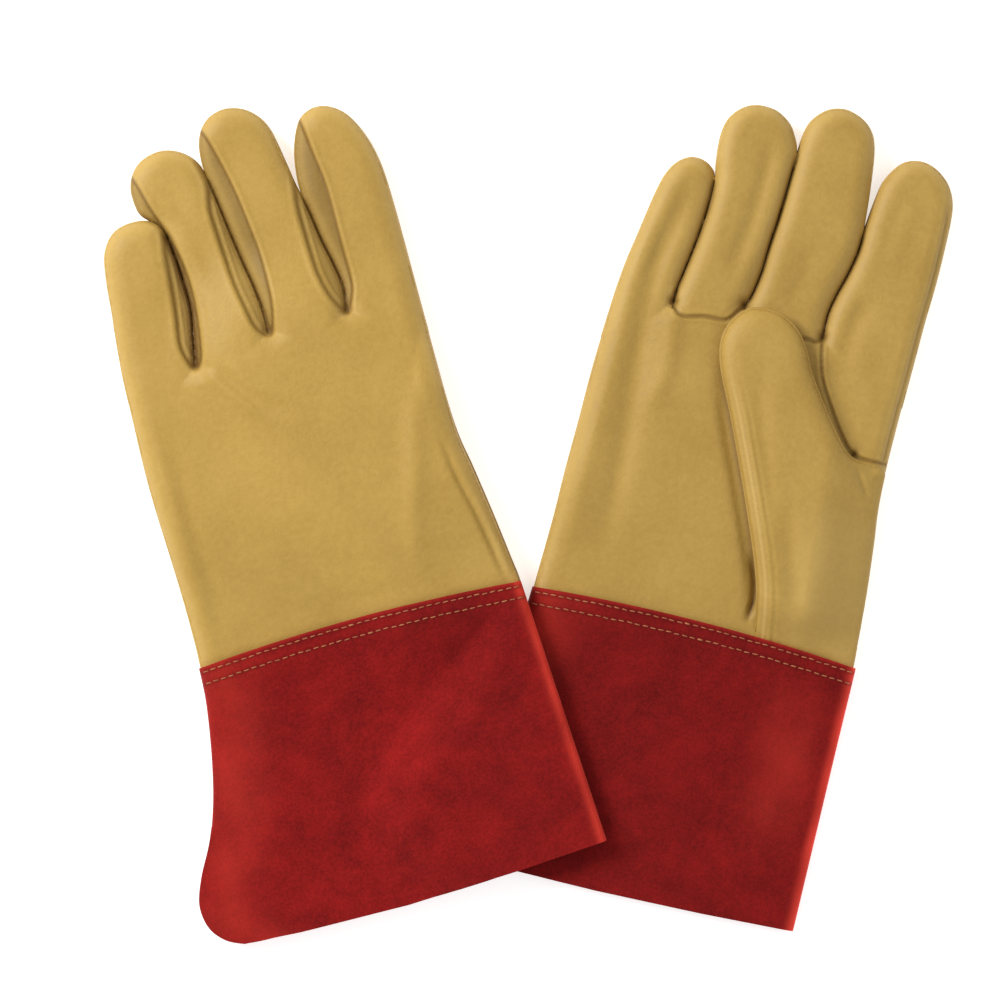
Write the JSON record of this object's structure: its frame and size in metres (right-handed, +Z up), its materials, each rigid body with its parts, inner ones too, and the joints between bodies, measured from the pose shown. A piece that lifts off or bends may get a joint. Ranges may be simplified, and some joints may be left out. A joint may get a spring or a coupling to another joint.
{
  "type": "welding gloves",
  "caption": "Pair of gauntlet welding gloves in tan grain leather with red split-leather cuffs, lying flat, one back up and one palm up with its thumb folded over the palm.",
  "frame": {"origin": "on the surface that the pair lies on, under the centre of its box", "axes": "+X from the left glove to the right glove, +Y towards the fingertips, +Z up"},
  "size_m": [0.3492, 0.3429, 0.0294],
  "materials": {
    "grain_leather": "matt grain",
    "split_leather": "napped suede",
    "thread": "matt twisted thread"
  },
  "bodies": {
    "left_hand": {"left_back_panel": "grain_leather", "left_palm_panel": "grain_leather", "left_index_front_root": "grain_leather", "left_thumb_heel": "grain_leather", "left_cuff_band": "split_leather", "left_cuff_stitches_upper": "thread", "left_cuff_stitches_lower": "thread"},
    "left_little": {"left_little_back": "grain_leather", "left_little_front": "grain_leather", "left_little_fourchette": "grain_leather"},
    "left_ring": {"left_ring_back": "grain_leather", "left_ring_front": "grain_leather", "left_ring_fourchette_ulnar": "grain_leather", "left_ring_fourchette_radial": "grain_leather"},
    "left_middle": {"left_middle_back": "grain_leather", "left_middle_front": "grain_leather", "left_middle_fourchette_ulnar": "grain_leather", "left_middle_fourchette_radial": "grain_leather"},
    "left_index": {"left_index_back": "grain_leather", "left_index_front": "grain_leather", "left_index_fourchette": "grain_leather"},
    "left_thumb": {"left_thumb_inner": "grain_leather", "left_thumb_outer": "grain_leather", "left_thumb_welt": "grain_leather"},
    "left_cuff": {"left_cuff": "split_leather"},
    "right_hand": {"right_back_panel": "grain_leather", "right_palm_panel": "grain_leather", "right_index_front_root": "grain_leather", "right_thumb_heel": "grain_leather", "right_cuff_band": "split_leather", "right_cuff_stitches_upper": "thread", "right_cuff_stitches_lower": "thread"},
    "right_little": {"right_little_back": "grain_leather", "right_little_front": "grain_leather", "right_little_fourchette": "grain_leather"},
    "right_ring": {"right_ring_back": "grain_leather", "right_ring_front": "grain_leather", "right_ring_fourchette_ulnar": "grain_leather", "right_ring_fourchette_radial": "grain_leather"},
    "right_middle": {"right_middle_back": "grain_leather", "right_middle_front": "grain_leather", "right_middle_fourchette_ulnar": "grain_leather", "right_middle_fourchette_radial": "grain_leather"},
    "right_index": {"right_index_back": "grain_leather", "right_index_front": "grain_leather", "right_index_fourchette": "grain_leather"},
    "right_thumb": {"right_thumb_inner": "grain_leather", "right_thumb_outer": "grain_leather", "right_thumb_welt": "grain_leather"},
    "right_cuff": {"right_cuff": "split_leather"}
  },
  "joints": [
    {"name": "left_little_flex", "type": "hinge", "parent": "left_hand", "child": "left_little", "pos_m": [-0.15195, 0.06571, 0.0094], "axis": [-0.9707, -0.2402, 0], "range_deg": [0, 85]},
    {"name": "left_ring_flex", "type": "hinge", "parent": "left_hand", "child": "left_ring", "pos_m": [-0.12422, 0.08522, 0.0094], "axis": [-0.9285, -0.3714, 0], "range_deg": [0, 85]},
    {"name": "left_middle_flex", "type": "hinge", "parent": "left_hand", "child": "left_middle", "pos_m": [-0.09248, 0.0939, 0.0094], "axis": [-0.9285, -0.3714, 0], "range_deg": [0, 85]},
    {"name": "left_index_flex", "type": "hinge", "parent": "left_hand", "child": "left_index", "pos_m": [-0.06021, 0.0991, 0.0094], "axis": [-0.9438, -0.3305, 0], "range_deg": [0, 85]},
    {"name": "left_thumb_swing", "type": "hinge", "parent": "left_hand", "child": "left_thumb", "pos_m": [-0.04242, 0.00709, 0.0014], "axis": [-0.0032, -1, 0], "range_deg": [0, 110]},
    {"name": "left_cuff_fold", "type": "hinge", "parent": "left_hand", "child": "left_cuff", "pos_m": [-0.06556, -0.05113, 0.0184], "axis": [-0.9646, -0.2639, 0], "range_deg": [0, 85]},
    {"name": "right_little_flex", "type": "hinge", "parent": "right_hand", "child": "right_little", "pos_m": [0.04653, 0.09256, 0.017], "axis": [0.9466, -0.3223, 0], "range_deg": [0, 85]},
    {"name": "right_ring_flex", "type": "hinge", "parent": "right_hand", "child": "right_ring", "pos_m": [0.07709, 0.09664, 0.017], "axis": [0.9573, -0.289, 0], "range_deg": [0, 85]},
    {"name": "right_middle_flex", "type": "hinge", "parent": "right_hand", "child": "right_middle", "pos_m": [0.10916, 0.08846, 0.017], "axis": [0.9622, -0.2723, 0], "range_deg": [0, 85]},
    {"name": "right_index_flex", "type": "hinge", "parent": "right_hand", "child": "right_index", "pos_m": [0.14444, 0.07586, 0.017], "axis": [0.969, -0.247, 0], "range_deg": [0, 85]},
    {"name": "right_thumb_swing", "type": "hinge", "parent": "right_hand", "child": "right_thumb", "pos_m": [0.11465, -0.01299, 0.0294], "axis": [0.4967, 0.8679, 0], "range_deg": [0, 110]},
    {"name": "right_cuff_fold", "type": "hinge", "parent": "right_hand", "child": "right_cuff", "pos_m": [0.06578, -0.05218, 0], "axis": [0.969, -0.247, 0], "range_deg": [0, 85]},
    {"name": "left_lift", "type": "slide", "parent": "right_hand", "child": "left_hand", "axis": [0, 0, 1], "range_m": [0, 0.15]}
  ]
}
